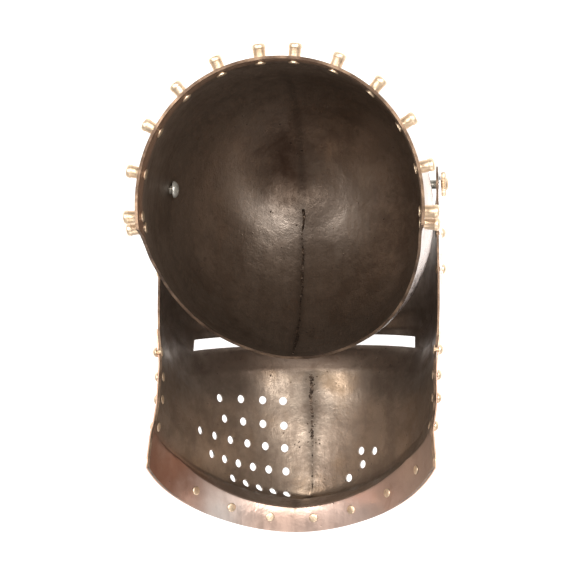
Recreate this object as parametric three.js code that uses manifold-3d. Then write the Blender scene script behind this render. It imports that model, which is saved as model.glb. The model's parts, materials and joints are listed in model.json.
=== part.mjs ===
import * as THREE from "three";
import { mergeVertices } from "three/addons/utils/BufferGeometryUtils.js";
import Module from "manifold-3d";

const wasm = await Module();
wasm.setup();

// Pig-faced bascinet lying on its crown with the visor raised. Sizes are in millimetres.
// The helmet is drawn upright first: x to the wearer's left, y to the back, z up from the neck edge.

// Main sizes of the skull
const SKULL_HEIGHT = 275;
const SKULL_HALF_WIDTH = 106;
const SKULL_HALF_DEPTH = 110.5;
const SKULL_WALL = 2.0;
const SKULL_FULLNESS = 2.08;
const SKULL_CENTRE_Y = -21.9;
const KEEL_HEIGHT = 1.6;
const SKULL_COLUMNS = 36;

// Skull sections from the neck edge to the crown, as shares of the height, half width and half depth.
// shift moves the middle of a section backwards, as a share of the half depth.
const SKULL_SECTIONS = [
  { height: 0.0, width: 0.955, depth: 0.95, shift: 0.05 },
  { height: 0.025, width: 0.945, depth: 0.944, shift: 0.048 },
  { height: 0.12, width: 0.96, depth: 0.965, shift: 0.04 },
  { height: 0.4, width: 0.997, depth: 0.998, shift: 0.01 },
  { height: 0.545, width: 1.0, depth: 1.0, shift: 0.0 },
  { height: 0.645, width: 0.97, depth: 0.968, shift: 0.01 },
  { height: 0.735, width: 0.905, depth: 0.9, shift: 0.02 },
  { height: 0.815, width: 0.795, depth: 0.79, shift: 0.04 },
  { height: 0.882, width: 0.65, depth: 0.645, shift: 0.07 },
  { height: 0.935, width: 0.475, depth: 0.465, shift: 0.11 },
  { height: 0.972, width: 0.29, depth: 0.275, shift: 0.145 },
  { height: 1.0, width: 0.0, depth: 0.0, shift: 0.18 },
];

// Face opening, seen from the side: distances ahead of the pivots and heights above the neck edge.
const FACE_START = 30;
const BROW_REACH = 136;
const BROW_HEIGHT = 132;
const FACE_STRAIGHTNESS = 1.9;
const FACE_STEPS = 14;

// Visor pivots
const PIVOT_HEIGHT = 155;
const RAISED_ANGLE = 56;
const PIN_RADIUS = 3.5;
const PIN_HEAD_RADIUS = 6.7;
const PIN_HEAD_THICKNESS = 4.2;
const ROSETTE_RADIUS = 9.5;
const ROSETTE_THICKNESS = 3.6;
const ROSETTE_TEETH = 12;
const ROSETTE_TOOTH_DEPTH = 1.1;

// Main sizes of the visor
const VISOR_REACH = 150;
const VISOR_WALL = 1.6;
const VISOR_PLAY = 1.9;
const VISOR_HALF_WIDTH = SKULL_HALF_WIDTH + VISOR_PLAY + VISOR_WALL;
const VISOR_HEIGHT = 219;
const SNOUT_REACH = 60;
const SNOUT_POINT = 1.25;
const CHEEK_AHEAD = 20;
const DROP_LIMIT = 0.62;
const VISOR_STEPS = 12;
const LINE_DROP = 0.6745;
const CHIN_LEAN = 9;
const CHIN_START = 0.74;

// Visor lines from top to bottom, seen with the visor closed, as shares of the named visor sizes.
// level is below the pivots, snout is the extra reach at the middle, full is the squareness of the plan,
// drop is how far a line sinks towards the sides.
const VISOR_LINES = [
  { level: -0.082, reach: 0.985, width: 1.0, full: 2.5, snout: 0.0, drop: 0.0 },
  { level: 0.068, reach: 0.985, width: 1.0, full: 2.5, snout: 0.0, drop: 0.0 },
  { level: 0.155, reach: 0.992, width: 1.0, full: 2.7, snout: 0.0, drop: 0.45 },
  { level: 0.192, reach: 1.02, width: 1.0, full: 3.0, snout: 0.0, drop: 0.9 },
  { level: 0.252, reach: 1.02, width: 1.0, full: 3.0, snout: 0.0, drop: 1.0 },
  { level: 0.288, reach: 1.0, width: 0.999, full: 2.9, snout: 0.0, drop: 1.0 },
  { level: 0.36, reach: 1.02, width: 0.995, full: 2.7, snout: 0.03, drop: 1.0 },
  { level: 0.46, reach: 1.02, width: 0.978, full: 2.45, snout: 0.27, drop: 0.8 },
  { level: 0.54, reach: 1.016, width: 0.973, full: 2.38, snout: 0.48, drop: 0.57 },
  { level: 0.63, reach: 1.012, width: 0.973, full: 2.3, snout: 0.68, drop: 0.36 },
  { level: 0.73, reach: 1.005, width: 0.973, full: 2.25, snout: 0.88, drop: 0.12 },
  { level: 0.785, reach: 1.0, width: 0.973, full: 2.2, snout: 0.97, drop: 0.0 },
  { level: 0.83, reach: 0.985, width: 0.973, full: 2.2, snout: 0.83, drop: 0.0 },
  { level: 0.87, reach: 0.96, width: 0.975, full: 2.2, snout: 0.52, drop: -0.1 },
  { level: 0.93, reach: 0.965, width: 0.982, full: 2.05, snout: 0.27, drop: -0.34 },
  { level: 0.965, reach: 1.022, width: 0.992, full: 2.01, snout: 0.2, drop: -0.1 },
  { level: 1.0, reach: 1.082, width: 1.0, full: 2.0, snout: 0.14, drop: 0.0 },
];

// Outline of the visor seen from the side when closed: ahead of and above the pivots.
const ARM_END_RADIUS = 14;
const VISOR_TOP = 20.2;
const TOP_DIP = 4.2;
const TOP_DIP_REACH = 143.8;
const VISOR_REAR = [
  { ahead: 6, above: -40 },
  { ahead: 25, above: -84 },
  { ahead: 39.6, above: -132 },
  { ahead: 46, above: -214 },
];
const REAR_CORNER = 8;

// Eye slit and breaths
const SLIT_HEIGHT = 8.6;
const SLIT_LEFT = 94;
const SLIT_RIGHT = 88;
const SLIT_BRIDGE = 16;
const SLIT_AHEAD = 128;
const BREATH_RADIUS = 3.4;
const BREATH_SIDES = 7;

// Rows of breaths on the wearer's left, as shares of the way to the side and down the visor.
const BREATH_ROWS = [
  { count: 4, inner: 0.103, outer: 0.438, innerLevel: 0.465, outerLevel: 0.466, spread: 1.14 },
  { count: 4, inner: 0.107, outer: 0.415, innerLevel: 0.548, outerLevel: 0.555, spread: 1.03 },
  { count: 6, inner: 0.11, outer: 0.57, innerLevel: 0.626, outerLevel: 0.65, spread: 1.0 },
  { count: 6, inner: 0.108, outer: 0.496, innerLevel: 0.708, outerLevel: 0.742, spread: 0.97 },
  { count: 5, inner: 0.094, outer: 0.358, innerLevel: 0.797, outerLevel: 0.801, spread: 1.03 },
];

// The four breaths of the cross on the wearer's right.
const CROSS_BREATHS = [
  { side: 0.23, level: 0.654 },
  { side: 0.309, level: 0.67 },
  { side: 0.241, level: 0.707 },
  { side: 0.17, level: 0.743 },
];

// Trim band, rivets and vervelles
const TRIM_THICKNESS = 1.0;
const TRIM_SIDE_WIDTH = 15;
const TRIM_TOP = 90;
const TRIM_INSET = 0.6;
const FIT_GAP = 0.35;
const RIVET_RADIUS = 1.7;
const RIVET_HEAD_RADIUS = 4.0;
const RIVET_HEAD_HEIGHT = 3.0;
const RIVET_END_RADIUS = 3.5;
const RIVET_END_THICKNESS = 0.8;
const RIVET_SIDES = 7;
const TRIM_FRONT_RIVETS = [-0.7, -0.484, -0.277, -0.087, 0.12, 0.311, 0.509];
const TRIM_FRONT_LEVEL = 0.96;
const TRIM_SIDE_LEVELS = [0.45, 0.58, 0.71, 0.84];

const VERVELLE_RADIUS = 4.1;
const VERVELLE_HEAD_RADIUS = 4.8;
const VERVELLE_NECK = 7.0;
const VERVELLE_LENGTH = 11.0;
const VERVELLE_SHANK = 3.0;
const VERVELLE_END = 0.9;
const VERVELLE_SIDES = 8;
const VERVELLE_HEIGHT = 10;
const VERVELLE_SLACK = 0.2;
// Angles round the neck edge from the back, and how far each stands above the usual height.
const VERVELLES = [
  { angle: 6.3, raise: 0 },
  { angle: 22.8, raise: 0 },
  { angle: 40.5, raise: 0 },
  { angle: 58.5, raise: 0 },
  { angle: 76.3, raise: 0 },
  { angle: 92, raise: 0 },
  { angle: 96, raise: 11 },
];

// Arm straps at the sides of the visor
const STRAP_THICKNESS = 1.5;
const STRAP_WIDTH = 20;
const STRAP_LENGTH = 78;
const STRAP_RIVETS = [38, 66];
const STRAP_SLACK = 0.8;
const RIVET_SLACK = 0.5;
const FACET_TOLERANCE = 0.06;

// Rest on the ground: the crown turned down, then leant to the wearer's left and tipped.
const REST_LEAN = 0;
const REST_TIP = -9.784;

const STEEL_SKULL = new THREE.MeshStandardMaterial({ color: 0x8a7c72, roughness: 0.42, metalness: 1 });
const STEEL_VISOR = new THREE.MeshStandardMaterial({ color: 0x9a8878, roughness: 0.4, metalness: 1 });
const STEEL_PIN = new THREE.MeshStandardMaterial({ color: 0x77736a, roughness: 0.35, metalness: 1 });
const BRASS = new THREE.MeshStandardMaterial({ color: 0xd2b184, roughness: 0.35, metalness: 1 });
const COPPER = new THREE.MeshStandardMaterial({ color: 0xd8a37e, roughness: 0.4, metalness: 1 });

const rad = THREE.MathUtils.degToRad;
const UP = new THREE.Vector3(0, 1, 0);

// Half length of a cut that runs right across the helmet
const CUT_REACH = SKULL_HALF_WIDTH * 2;
const CUT_PAST = 20;
const BORE_SIDES = 12;
const signedPower = (v, p) => Math.sign(v) * Math.pow(Math.abs(v), p);

// Smooth value between the rows of a table, found with a monotone cubic.
function between(rows, key, value, at) {
  const last = rows.length - 1;
  const slope = (i) => (rows[i + 1][value] - rows[i][value]) / (rows[i + 1][key] - rows[i][key]);
  const tangent = (i) => {
    if (i === 0) return slope(0);
    if (i === last) return slope(last - 1);
    const a = slope(i - 1);
    const b = slope(i);
    return a * b <= 0 ? 0 : (2 * a * b) / (a + b);
  };
  let i = 0;
  while (i < last - 1 && at > rows[i + 1][key]) i += 1;
  const h = rows[i + 1][key] - rows[i][key];
  const s = (at - rows[i][key]) / h;
  const s2 = s * s;
  const s3 = s2 * s;
  return (
    (2 * s3 - 3 * s2 + 1) * rows[i][value] +
    (s3 - 2 * s2 + s) * h * tangent(i) +
    (3 * s2 - 2 * s3) * rows[i + 1][value] +
    (s3 - s2) * h * tangent(i + 1)
  );
}

// Solids
function solidFrom(vertices, triangles) {
  const make = (tris) =>
    new wasm.Manifold(
      new wasm.Mesh({
        numProp: 3,
        vertProperties: Float32Array.from(vertices.flatMap((v) => [v.x, v.y, v.z])),
        triVerts: Uint32Array.from(tris.flat()),
      }),
    );
  const whole = triangles.filter(([a, b, c]) => a !== b && b !== c && c !== a);
  const made = make(whole);
  return made.volume() > 0 ? made : make(whole.map(([a, b, c]) => [a, c, b]));
}

function solidOf(geometry) {
  const bare = geometry.clone();
  bare.deleteAttribute("normal");
  bare.deleteAttribute("uv");
  const merged = mergeVertices(bare, 1e-4);
  const position = merged.getAttribute("position");
  const vertices = [];
  for (let i = 0; i < position.count; i += 1) {
    vertices.push(new THREE.Vector3().fromBufferAttribute(position, i));
  }
  const triangles = [];
  for (let i = 0; i < merged.index.count; i += 3) {
    triangles.push([merged.index.getX(i), merged.index.getX(i + 1), merged.index.getX(i + 2)]);
  }
  return solidFrom(vertices, triangles);
}

function geometryOf(solid) {
  const mesh = solid.getMesh();
  const positions = [];
  for (let i = 0; i < mesh.numVert; i += 1) {
    positions.push(...mesh.vertProperties.subarray(i * mesh.numProp, i * mesh.numProp + 3));
  }
  const geometry = new THREE.BufferGeometry();
  geometry.setAttribute("position", new THREE.Float32BufferAttribute(positions, 3));
  geometry.setIndex(Array.from(mesh.triVerts));
  const flat = geometry.toNonIndexed();
  flat.computeVertexNormals();
  return flat;
}

// Outline drawn ahead of and above the pivots, run across the helmet between two sides.
function across(outline, from, to) {
  const shape = new THREE.Shape(outline.map(([ahead, above]) => new THREE.Vector2(ahead, above)));
  const geometry = new THREE.ExtrudeGeometry(shape, { depth: to - from, bevelEnabled: false });
  const basis = new THREE.Matrix4().makeBasis(
    new THREE.Vector3(0, -1, 0),
    new THREE.Vector3(0, 0, 1),
    new THREE.Vector3(-1, 0, 0),
  );
  geometry.applyMatrix4(basis);
  geometry.translate(to, 0, 0);
  return solidOf(geometry);
}

function rod(radius, from, to, sides, point, normal) {
  const geometry = new THREE.CylinderGeometry(radius, radius, to - from, sides);
  geometry.translate(0, (to + from) / 2, 0);
  geometry.applyQuaternion(new THREE.Quaternion().setFromUnitVectors(UP, normal));
  geometry.translate(point.x, point.y, point.z);
  return solidOf(geometry);
}

function turned(profile, sides) {
  const points = profile.map(([radius, along]) => new THREE.Vector2(radius, along));
  return solidOf(new THREE.LatheGeometry(points, sides));
}

// Wall between an outer and an inner grid of points; a closed grid joins its last column to its first.
function wall(outer, inner, closed) {
  const rows = outer.length;
  const columns = outer[0].length;
  const vertices = [...outer.flat(), ...inner.flat()];
  const at = (side, row, column) => side * rows * columns + row * columns + (column % columns);
  const triangles = [];
  const quad = (a, b, c, d) => triangles.push([a, b, c], [a, c, d]);
  const spans = closed ? columns : columns - 1;
  for (let r = 0; r < rows - 1; r += 1) {
    for (let c = 0; c < spans; c += 1) {
      quad(at(0, r, c), at(0, r, c + 1), at(0, r + 1, c + 1), at(0, r + 1, c));
      quad(at(1, r, c), at(1, r + 1, c), at(1, r + 1, c + 1), at(1, r, c + 1));
    }
  }
  for (let c = 0; c < spans; c += 1) {
    quad(at(0, 0, c), at(1, 0, c), at(1, 0, c + 1), at(0, 0, c + 1));
    quad(at(0, rows - 1, c), at(0, rows - 1, c + 1), at(1, rows - 1, c + 1), at(1, rows - 1, c));
  }
  if (!closed) {
    for (let r = 0; r < rows - 1; r += 1) {
      quad(at(0, r, 0), at(0, r + 1, 0), at(1, r + 1, 0), at(1, r, 0));
      quad(at(0, r, columns - 1), at(1, r, columns - 1), at(1, r + 1, columns - 1), at(0, r + 1, columns - 1));
    }
  }
  const shell = new THREE.BufferGeometry();
  shell.setAttribute(
    "position",
    new THREE.Float32BufferAttribute(vertices.flatMap((v) => [v.x, v.y, v.z]), 3),
  );
  shell.setIndex(triangles.flat());
  return solidOf(shell);
}

// Point on the outside of the skull: turn runs from the front, share runs from the neck edge to the crown.
function skullPoint(turn, share) {
  const width = between(SKULL_SECTIONS, "height", "width", share) * SKULL_HALF_WIDTH;
  const depth = between(SKULL_SECTIONS, "height", "depth", share) * SKULL_HALF_DEPTH;
  const shift = between(SKULL_SECTIONS, "height", "shift", share) * SKULL_HALF_DEPTH;
  const power = 2 / SKULL_FULLNESS;
  const ridge = Math.max(0, Math.cos(turn)) ** 24 * KEEL_HEIGHT * (depth / SKULL_HALF_DEPTH);
  return new THREE.Vector3(
    width * signedPower(Math.sin(turn), power),
    SKULL_CENTRE_Y + shift - depth * signedPower(Math.cos(turn), power) - ridge,
    share * SKULL_HEIGHT,
  );
}

function skullNormal(turn, share) {
  if (share > 0.999) return new THREE.Vector3(0, 0, 1);
  const step = 0.004;
  const round = skullPoint(turn + step, share).sub(skullPoint(turn - step, share));
  const rise = skullPoint(turn, Math.min(1, share + step)).sub(skullPoint(turn, Math.max(0, share - step)));
  const normal = round.cross(rise).normalize();
  if (share < 0.001) normal.setZ(0).normalize();
  return normal;
}

// Bore for the pivot pins, right across the helmet
function pivotBore(height) {
  const radius = PIN_RADIUS + FIT_GAP;
  const bore = new THREE.CylinderGeometry(radius, radius, CUT_REACH * 2, BORE_SIDES);
  bore.rotateZ(Math.PI / 2);
  bore.translate(0, 0, height);
  return solidOf(bore);
}

function buildSkull() {
  const outer = [];
  const inner = [];
  for (const { height } of SKULL_SECTIONS) {
    const ring = [];
    const lining = [];
    for (let c = 0; c < SKULL_COLUMNS; c += 1) {
      const turn = (2 * Math.PI * c) / SKULL_COLUMNS;
      const point = skullPoint(turn, height);
      ring.push(point);
      lining.push(point.clone().addScaledVector(skullNormal(turn, height), -SKULL_WALL));
    }
    outer.push(ring);
    inner.push(lining);
  }
  const face = [[FACE_START, -CUT_PAST]];
  for (let i = 0; i <= FACE_STEPS; i += 1) {
    const turn = (Math.PI / 2) * (i / FACE_STEPS);
    face.push([
      BROW_REACH - (BROW_REACH - FACE_START) * signedPower(Math.cos(turn), FACE_STRAIGHTNESS),
      BROW_HEIGHT * Math.sin(turn) ** FACE_STRAIGHTNESS,
    ]);
  }
  const past = BROW_REACH + CUT_PAST * 4;
  face.push([past, BROW_HEIGHT], [past, -CUT_PAST]);
  let skull = wall(outer, inner, true).subtract(across(face, -CUT_REACH, CUT_REACH));
  for (const peg of vervelleSeats()) {
    skull = skull.subtract(
      rod(VERVELLE_SHANK + FIT_GAP, -SKULL_WALL * 3, SKULL_WALL * 3, VERVELLE_SIDES, peg.point, peg.normal),
    );
  }
  return skull.subtract(pivotBore(PIVOT_HEIGHT));
}

function vervelleSeats() {
  const seats = [];
  for (const side of [1, -1]) {
    for (const { angle, raise } of VERVELLES) {
      const turn = Math.PI - side * rad(angle);
      const share = (VERVELLE_HEIGHT + raise) / SKULL_HEIGHT;
      const normal = skullNormal(turn, share);
      const point = skullPoint(turn, share).addScaledVector(normal, VERVELLE_SLACK / 2);
      seats.push({ point, normal });
    }
  }
  return seats;
}

// Point on the outside of the closed visor, from the pivots: side runs from -1 to 1 round the front
// and straight back beyond it, level runs down the visor as a share of its height.
function visorPoint(side, level) {
  const reach = between(VISOR_LINES, "level", "reach", level) * VISOR_REACH;
  const width = between(VISOR_LINES, "level", "width", level) * VISOR_HALF_WIDTH;
  const full = between(VISOR_LINES, "level", "full", level);
  const snout = between(VISOR_LINES, "level", "snout", level) * SNOUT_REACH;
  const drop = between(VISOR_LINES, "level", "drop", level) * LINE_DROP;
  const round = Math.min(1, Math.abs(side));
  const ahead = (share) =>
    CHEEK_AHEAD + (reach - CHEEK_AHEAD) * Math.cos((share * Math.PI) / 2) ** (2 / full);
  const bump = snout * Math.max(0, 1 - round) ** SNOUT_POINT;
  const back = Math.max(0, Math.abs(side) - 1) * VISOR_REACH;
  const sink = drop * (reach - ahead(Math.min(round, DROP_LIMIT)));
  const chin = THREE.MathUtils.smoothstep(level, CHIN_START, 0.9) * CHIN_LEAN;
  const lean = chin * Math.cos((round * Math.PI) / 2) ** 0.7;
  return new THREE.Vector3(
    Math.sign(side) * width * Math.sin((round * Math.PI) / 2) ** (2 / full) + lean,
    -(ahead(round) + bump - back),
    -level * VISOR_HEIGHT - sink,
  );
}

function visorNormal(side, level) {
  const step = 0.01;
  const round = visorPoint(side + step, level).sub(visorPoint(side - step, level));
  const top = VISOR_LINES[0].level;
  const down = visorPoint(side, Math.min(1, level + step)).sub(visorPoint(side, Math.max(top, level - step)));
  return down.cross(round).normalize();
}

// Stations round the visor, closer together at the snout and the cheeks.
function visorStations() {
  const round = [];
  for (let i = 0; i <= VISOR_STEPS; i += 1) round.push(i / VISOR_STEPS);
  const half = [...round, 1.12, 1.26];
  return [...half.slice(1).map((s) => -s).reverse(), ...half];
}

function visorSheet(levels, from, to) {
  const stations = visorStations();
  const grid = (offset) =>
    levels.map((level) =>
      stations.map((side) => visorPoint(side, level).addScaledVector(visorNormal(side, level), offset)),
    );
  return wall(grid(to), grid(from), false);
}

function visorOutline() {
  const front = VISOR_REACH + SNOUT_REACH + CUT_PAST * 2;
  const outline = [];
  for (let i = 0; i <= 8; i += 1) {
    const turn = Math.PI / 2 + (i / 8) * rad(118);
    outline.push([ARM_END_RADIUS * Math.cos(turn), ARM_END_RADIUS * Math.sin(turn)]);
  }
  const last = VISOR_REAR[VISOR_REAR.length - 1];
  for (const { ahead, above } of VISOR_REAR) outline.push([ahead, above]);
  outline.push([last.ahead + REAR_CORNER * 0.4, last.above - REAR_CORNER * 0.7]);
  outline.push([last.ahead + REAR_CORNER * 1.5, last.above - REAR_CORNER * 1.4]);
  outline.push([last.ahead + REAR_CORNER * 1.5, -VISOR_HEIGHT - CUT_PAST]);
  outline.push([front, -VISOR_HEIGHT - CUT_PAST], [front, -CUT_PAST * 2]);
  outline.push([TOP_DIP_REACH + TOP_DIP * 3, VISOR_TOP - TOP_DIP * 3]);
  outline.push([TOP_DIP_REACH, VISOR_TOP], [ARM_END_RADIUS * 2.4, VISOR_TOP]);
  return outline;
}

function breathSeats() {
  const seats = [];
  for (const row of BREATH_ROWS) {
    for (let i = 0; i < row.count; i += 1) {
      const share = (i / (row.count - 1)) ** row.spread;
      seats.push([
        row.inner + (row.outer - row.inner) * share,
        row.innerLevel + (row.outerLevel - row.innerLevel) * share,
      ]);
    }
  }
  for (const { side, level } of CROSS_BREATHS) seats.push([-side, level]);
  return seats;
}

function seat(side, level) {
  return { point: visorPoint(side, level), normal: visorNormal(side, level) };
}

// Side station of the visor where its outside stands a given distance ahead of the pivots.
function stationAhead(ahead, level) {
  let low = 0;
  let high = 1.26;
  for (let i = 0; i < 30; i += 1) {
    const middle = (low + high) / 2;
    if (-visorPoint(middle, level).y > ahead) low = middle;
    else high = middle;
  }
  return low;
}

function rearAhead(level) {
  const rows = VISOR_REAR.map(({ ahead, above }) => ({ depth: -above, ahead }));
  return between(rows, "depth", "ahead", level * VISOR_HEIGHT);
}

function trimSeats() {
  const seats = TRIM_FRONT_RIVETS.map((side) => seat(side, TRIM_FRONT_LEVEL));
  for (const side of [1, -1]) {
    for (const level of TRIM_SIDE_LEVELS) {
      const station = stationAhead(rearAhead(level) + TRIM_SIDE_WIDTH / 2, level);
      seats.push(seat(side * station, level));
    }
  }
  return seats;
}

function strapSeats() {
  const seats = [];
  const direction = rad(-RAISED_ANGLE);
  for (const side of [1, -1]) {
    for (const along of STRAP_RIVETS) {
      seats.push({
        point: new THREE.Vector3(
          side * VISOR_HALF_WIDTH,
          -along * Math.cos(direction),
          along * Math.sin(direction),
        ),
        normal: new THREE.Vector3(side, 0, 0),
      });
    }
  }
  return seats;
}

function boreAll(solid, seats, radius, sides) {
  return seats.reduce(
    (left, { point, normal }) => left.subtract(rod(radius, -9, 9, sides, point, normal)),
    solid,
  );
}

function buildVisor() {
  const levels = VISOR_LINES.map(({ level }) => level);
  let visor = visorSheet(levels, -VISOR_WALL, 0).intersect(across(visorOutline(), -CUT_REACH, CUT_REACH));
  for (const [from, to] of [[SLIT_BRIDGE / 2, SLIT_LEFT], [-SLIT_RIGHT, -SLIT_BRIDGE / 2]]) {
    const slot = new THREE.BoxGeometry(to - from, SLIT_HEIGHT, PIVOT_HEIGHT);
    slot.translate((to + from) / 2, -SLIT_AHEAD, PIVOT_HEIGHT / 2);
    slot.rotateX(rad(RAISED_ANGLE));
    visor = visor.subtract(solidOf(slot));
  }
  visor = boreAll(visor, breathSeats().map(([side, level]) => seat(side, level)), BREATH_RADIUS, BREATH_SIDES);
  visor = boreAll(visor, trimSeats(), RIVET_RADIUS + FIT_GAP, RIVET_SIDES);
  visor = boreAll(visor, strapSeats(), RIVET_RADIUS + FIT_GAP, RIVET_SIDES);
  return visor.subtract(pivotBore(0));
}

function buildTrim() {
  const levels = VISOR_LINES.map(({ level }) => level).filter((level) => level > 0.35);
  const band = visorSheet(levels, FIT_GAP, FIT_GAP + TRIM_THICKNESS);
  const rear = VISOR_REAR.slice(1).map(({ ahead, above }) => [ahead + TRIM_INSET, above]);
  const last = rear[rear.length - 1];
  const low = -VISOR_HEIGHT - CUT_PAST;
  const crease = -VISOR_LINES[VISOR_LINES.length - 3].level * VISOR_HEIGHT - 2;
  const topRear = between(
    VISOR_REAR.map(({ ahead, above }) => ({ depth: -above, ahead })),
    "depth",
    "ahead",
    TRIM_TOP,
  );
  const outline = [[topRear + TRIM_INSET, -TRIM_TOP]];
  for (const point of rear.slice(1)) outline.push(point);
  outline.push([last[0] + REAR_CORNER * 0.4, last[1] - REAR_CORNER * 0.55]);
  outline.push([last[0] + REAR_CORNER * 1.5, last[1] - REAR_CORNER * 1.1]);
  outline.push([last[0] + REAR_CORNER * 1.5, low]);
  outline.push([VISOR_REACH + SNOUT_REACH, low], [VISOR_REACH + SNOUT_REACH, crease]);
  outline.push([last[0] + TRIM_SIDE_WIDTH + 4, crease]);
  outline.push([rear[1][0] + TRIM_SIDE_WIDTH, rear[1][1]]);
  outline.push([topRear + TRIM_SIDE_WIDTH, -TRIM_TOP]);
  return boreAll(
    band.intersect(across(outline, -CUT_REACH, CUT_REACH)),
    trimSeats(),
    RIVET_RADIUS + FIT_GAP,
    RIVET_SIDES,
  );
}

function buildStrap(side) {
  const half = STRAP_WIDTH / 2;
  const outline = [];
  const direction = rad(-RAISED_ANGLE);
  const place = (along, off) => [
    along * Math.cos(direction) - off * Math.sin(direction),
    along * Math.sin(direction) + off * Math.cos(direction),
  ];
  for (let i = 0; i <= 10; i += 1) {
    const turn = Math.PI / 2 + (i / 10) * Math.PI;
    outline.push(place(half * Math.cos(turn), half * Math.sin(turn)));
  }
  outline.push(place(STRAP_LENGTH - 7, -half), place(STRAP_LENGTH, 0), place(STRAP_LENGTH - 7, half));
  const near = VISOR_HALF_WIDTH + FIT_GAP;
  const far = near + STRAP_THICKNESS;
  let strap = side > 0 ? across(outline, near, far) : across(outline, -far, -near);
  strap = boreAll(strap, strapSeats(), RIVET_RADIUS + FIT_GAP, RIVET_SIDES);
  return strap.subtract(pivotBore(0));
}

const VERVELLE_INSIDE = -SKULL_WALL - FIT_GAP - VERVELLE_SLACK * 1.5;

// Turned pieces stand on their seat: distances along the axis start at the outside of the sheet.
const vervelleShape = turned(
  [
    [0, VERVELLE_INSIDE - VERVELLE_END],
    [VERVELLE_SHANK + 0.9, VERVELLE_INSIDE - VERVELLE_END],
    [VERVELLE_SHANK + 0.9, VERVELLE_INSIDE],
    [VERVELLE_SHANK, VERVELLE_INSIDE],
    [VERVELLE_SHANK, FIT_GAP],
    [VERVELLE_RADIUS, FIT_GAP],
    [VERVELLE_RADIUS, VERVELLE_NECK],
    [VERVELLE_HEAD_RADIUS, VERVELLE_NECK],
    [VERVELLE_HEAD_RADIUS, VERVELLE_LENGTH - 1.2],
    [VERVELLE_HEAD_RADIUS - 1.4, VERVELLE_LENGTH],
    [0, VERVELLE_LENGTH],
  ],
  VERVELLE_SIDES,
);

function rivetShape(outside, inside) {
  return turned(
    [
      [0, -inside - FIT_GAP - RIVET_END_THICKNESS],
      [RIVET_END_RADIUS, -inside - FIT_GAP - RIVET_END_THICKNESS],
      [RIVET_END_RADIUS, -inside - FIT_GAP],
      [RIVET_RADIUS, -inside - FIT_GAP],
      [RIVET_RADIUS, outside + FIT_GAP],
      [RIVET_HEAD_RADIUS, outside + FIT_GAP],
      [RIVET_HEAD_RADIUS * 0.74, outside + FIT_GAP + RIVET_HEAD_HEIGHT * 0.72],
      [0, outside + FIT_GAP + RIVET_HEAD_HEIGHT],
    ],
    RIVET_SIDES,
  );
}

const STACK_OUTSIDE = VISOR_HALF_WIDTH + FIT_GAP + STRAP_THICKNESS;
const pinWall = skullWallAtPivot();
const pinShape = turned(
  [
    [0, pinWall - PIN_HEAD_THICKNESS],
    [PIN_HEAD_RADIUS - 1.6, pinWall - PIN_HEAD_THICKNESS],
    [PIN_HEAD_RADIUS, pinWall - PIN_HEAD_THICKNESS * 0.55],
    [PIN_HEAD_RADIUS, pinWall],
    [PIN_RADIUS, pinWall],
    [PIN_RADIUS, STACK_OUTSIDE + FIT_GAP + 1.6],
    [0, STACK_OUTSIDE + FIT_GAP + 1.6],
  ],
  12,
);

// Nearest distance from the middle plane to the inside of the skull round the pivot.
function skullWallAtPivot() {
  const share = PIVOT_HEIGHT / SKULL_HEIGHT;
  let low = Math.PI / 2;
  let high = Math.PI;
  for (let i = 0; i < 30; i += 1) {
    const middle = (low + high) / 2;
    if (skullPoint(middle, share).y < PIN_HEAD_RADIUS) low = middle;
    else high = middle;
  }
  const rise = PIN_HEAD_RADIUS / SKULL_HEIGHT;
  const nearest = Math.min(skullPoint(low, share + rise).x, skullPoint(low, share).x);
  return nearest - SKULL_WALL - FIT_GAP * 2;
}

function buildRosette() {
  const shape = new THREE.Shape();
  const steps = ROSETTE_TEETH * 3;
  for (let i = 0; i < steps; i += 1) {
    const turn = (2 * Math.PI * i) / steps;
    const edge = ROSETTE_RADIUS - (ROSETTE_TOOTH_DEPTH * (1 - Math.cos(ROSETTE_TEETH * turn))) / 2;
    const point = [edge * Math.cos(turn), edge * Math.sin(turn)];
    if (i === 0) shape.moveTo(...point);
    else shape.lineTo(...point);
  }
  const disc = new THREE.ExtrudeGeometry(shape, {
    depth: ROSETTE_THICKNESS,
    bevelEnabled: false,
  });
  disc.rotateX(-Math.PI / 2);
  const boss = turned([[0, 1], [4.6, 1], [4.6, ROSETTE_THICKNESS + 0.8], [3, ROSETTE_THICKNESS + 2], [0, ROSETTE_THICKNESS + 2]], 12);
  const start = new THREE.Vector3(0, 0, 0);
  const bore = rod(PIN_RADIUS + FIT_GAP, -1, 1.6 + FIT_GAP, 12, start, UP);
  return solidOf(disc).add(boss).subtract(bore);
}

// Assembly
const helmet = new THREE.Group();
const visorGroup = new THREE.Group();
visorGroup.position.set(0, 0, PIVOT_HEIGHT);
visorGroup.rotation.x = -rad(RAISED_ANGLE);
helmet.add(visorGroup);

function addPiece(parent, name, solid, material, point, normal) {
  const mesh = new THREE.Mesh(geometryOf(solid.simplify(FACET_TOLERANCE)), material.clone());
  mesh.name = name;
  if (point) mesh.position.copy(point);
  if (normal) mesh.quaternion.setFromUnitVectors(UP, normal);
  parent.add(mesh);
}

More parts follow.
